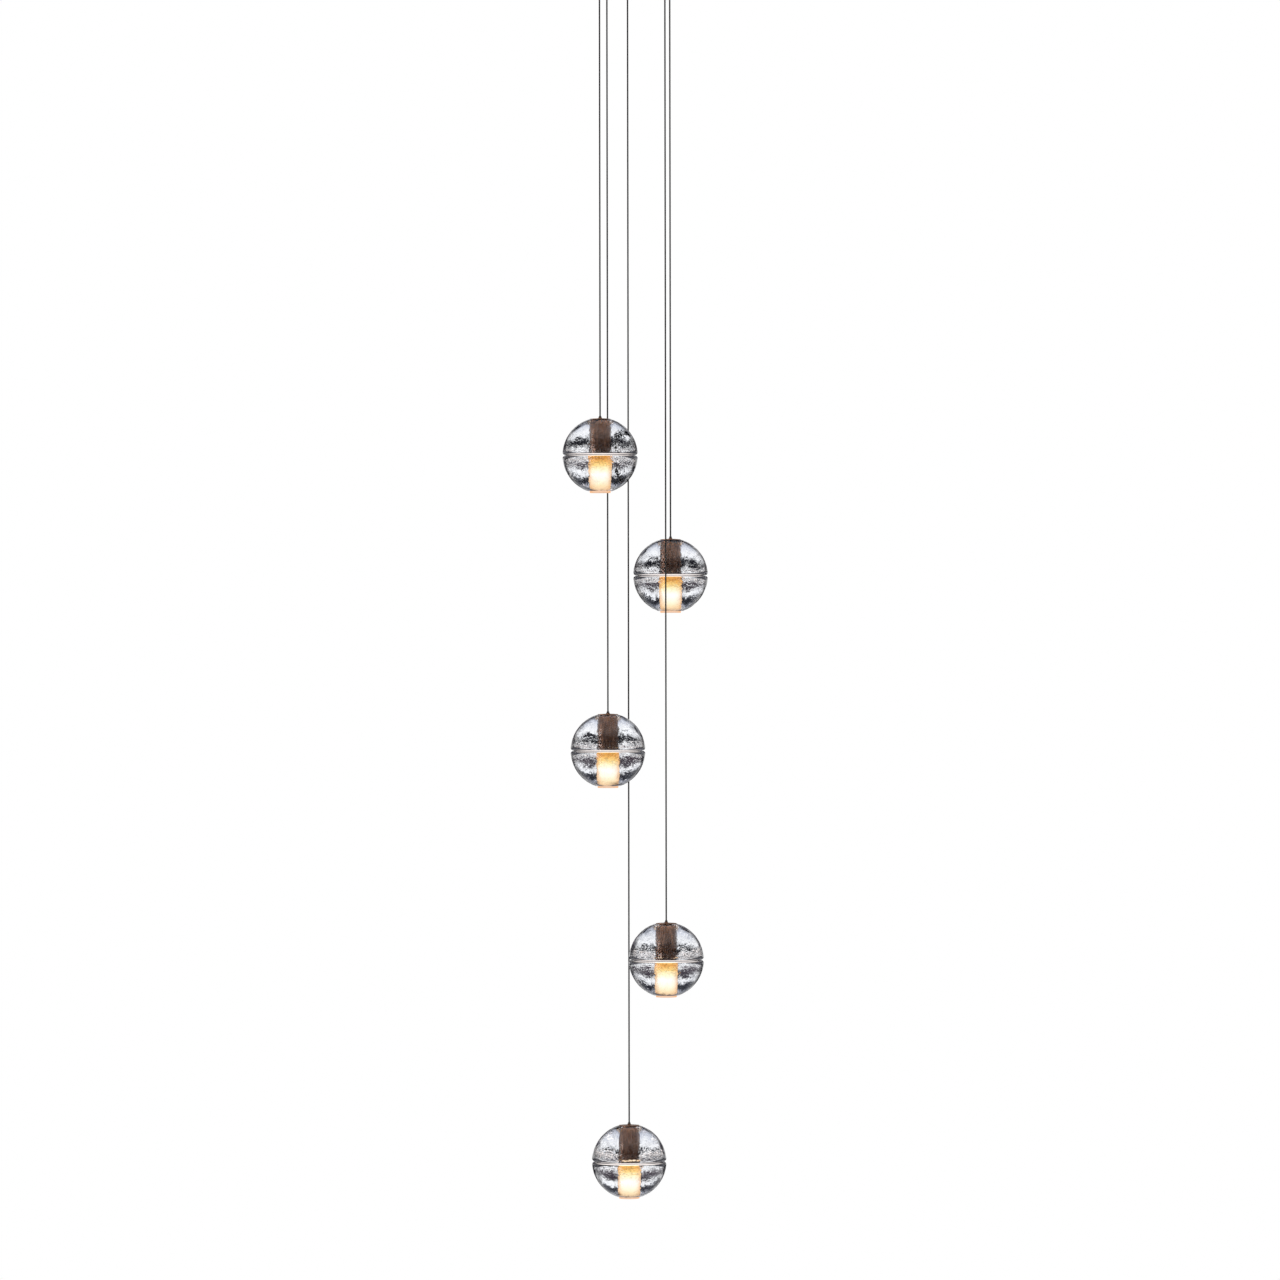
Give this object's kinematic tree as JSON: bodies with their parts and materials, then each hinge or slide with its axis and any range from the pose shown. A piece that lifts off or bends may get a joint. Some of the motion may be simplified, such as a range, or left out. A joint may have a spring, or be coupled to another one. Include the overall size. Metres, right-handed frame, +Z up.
{
  "type": "chandelier",
  "caption": "Ceiling chandelier: solid cast-glass globes with lit frosted tubes, hung at staggered heights on straight coaxial cables from a shallow round canopy.",
  "frame": {"origin": "centre of the mounting plate's top face, on the ceiling plane", "axes": "+Z up into the ceiling; the front of the chandelier faces -Y; +X to the right seen from the front"},
  "size_m": [0.2054, 0.2125, 1.6699],
  "materials": {
    "cast_glass": "clear cast glass, rippled inside, polished skin",
    "frosted_glass": "frosted, lit from inside",
    "lamp_glass": "clear capsule, lit",
    "globe_bronze": "satin dark bronze",
    "grip_bronze": "satin bronze plate",
    "canopy_bronze": "brushed, bronze-grey plate",
    "zinc_steel": "zinc plated",
    "brass_crimp": "bare brass",
    "cable_braid": "fine dark braided metal",
    "black_rubber": "matt",
    "white_ceramic": "matt white",
    "transformer_case": "moulded",
    "terminal_plastic": "moulded"
  },
  "bodies": {
    "canopy": {"mounting_plate": "zinc_steel", "canopy_cover": "canopy_bronze", "canopy_screws": "canopy_bronze", "cable_grips": "grip_bronze", "grip_nuts": "zinc_steel", "transformer": "transformer_case", "terminal_block": "terminal_plastic", "supply_bushing": "black_rubber", "plate_screws": "zinc_steel", "cable_tails": "cable_braid"},
    "pendant_1": {"hanging_cable_1": "cable_braid", "cable_boot_1": "black_rubber", "cable_stop_1": "brass_crimp", "top_cap_1": "globe_bronze", "lamp_sleeve_1": "globe_bronze", "lamp_holder_1": "white_ceramic", "upper_glass_1": "cast_glass", "lower_glass_1": "cast_glass", "diffuser_1": "frosted_glass"},
    "lamp_1": {"lamp_1": "lamp_glass"},
    "pendant_2": {"hanging_cable_2": "cable_braid", "cable_boot_2": "black_rubber", "cable_stop_2": "brass_crimp", "top_cap_2": "globe_bronze", "lamp_sleeve_2": "globe_bronze", "lamp_holder_2": "white_ceramic", "upper_glass_2": "cast_glass", "lower_glass_2": "cast_glass", "diffuser_2": "frosted_glass"},
    "lamp_2": {"lamp_2": "lamp_glass"},
    "pendant_3": {"hanging_cable_3": "cable_braid", "cable_boot_3": "black_rubber", "cable_stop_3": "brass_crimp", "top_cap_3": "globe_bronze", "lamp_sleeve_3": "globe_bronze", "lamp_holder_3": "white_ceramic", "upper_glass_3": "cast_glass", "lower_glass_3": "cast_glass", "diffuser_3": "frosted_glass"},
    "lamp_3": {"lamp_3": "lamp_glass"},
    "pendant_4": {"hanging_cable_4": "cable_braid", "cable_boot_4": "black_rubber", "cable_stop_4": "brass_crimp", "top_cap_4": "globe_bronze", "lamp_sleeve_4": "globe_bronze", "lamp_holder_4": "white_ceramic", "upper_glass_4": "cast_glass", "lower_glass_4": "cast_glass", "diffuser_4": "frosted_glass"},
    "lamp_4": {"lamp_4": "lamp_glass"},
    "pendant_5": {"hanging_cable_5": "cable_braid", "cable_boot_5": "black_rubber", "cable_stop_5": "brass_crimp", "top_cap_5": "globe_bronze", "lamp_sleeve_5": "globe_bronze", "lamp_holder_5": "white_ceramic", "upper_glass_5": "cast_glass", "lower_glass_5": "cast_glass", "diffuser_5": "frosted_glass"},
    "lamp_5": {"lamp_5": "lamp_glass"}
  },
  "joints": [
    {"name": "pendant_1_swing", "type": "hinge", "parent": "canopy", "child": "pendant_1", "pos_m": [-0.0457, -0.042, -0.0545], "axis": [-0.6767, 0.7363, 0], "range_deg": [-0.15, 20]},
    {"name": "lamp_1_pull", "type": "slide", "parent": "pendant_1", "child": "lamp_1", "axis": [0, 0, -1], "range_m": [0, 0.058]},
    {"name": "pendant_2_swing", "type": "hinge", "parent": "canopy", "child": "pendant_2", "pos_m": [0.0476, 0.034, -0.0545], "axis": [0.5812, -0.8137, 0], "range_deg": [-0.15, 20]},
    {"name": "lamp_2_pull", "type": "slide", "parent": "pendant_2", "child": "lamp_2", "axis": [0, 0, -1], "range_m": [0, 0.058]},
    {"name": "pendant_3_swing", "type": "hinge", "parent": "canopy", "child": "pendant_3", "pos_m": [-0.0362, 0.012, -0.0545], "axis": [0.3147, 0.9492, 0], "range_deg": [-0.15, 20]},
    {"name": "lamp_3_pull", "type": "slide", "parent": "pendant_3", "child": "lamp_3", "axis": [0, 0, -1], "range_m": [0, 0.058]},
    {"name": "pendant_4_swing", "type": "hinge", "parent": "canopy", "child": "pendant_4", "pos_m": [0.0409, -0.022, -0.0545], "axis": [-0.4737, -0.8807, 0], "range_deg": [-0.15, 20]},
    {"name": "lamp_4_pull", "type": "slide", "parent": "pendant_4", "child": "lamp_4", "axis": [0, 0, -1], "range_m": [0, 0.058]},
    {"name": "pendant_5_swing", "type": "hinge", "parent": "canopy", "child": "pendant_5", "pos_m": [-0.0088, 0.06, -0.0545], "axis": [0.9894, 0.1451, 0], "range_deg": [-0.15, 20]},
    {"name": "lamp_5_pull", "type": "slide", "parent": "pendant_5", "child": "lamp_5", "axis": [0, 0, -1], "range_m": [0, 0.058]}
  ]
}
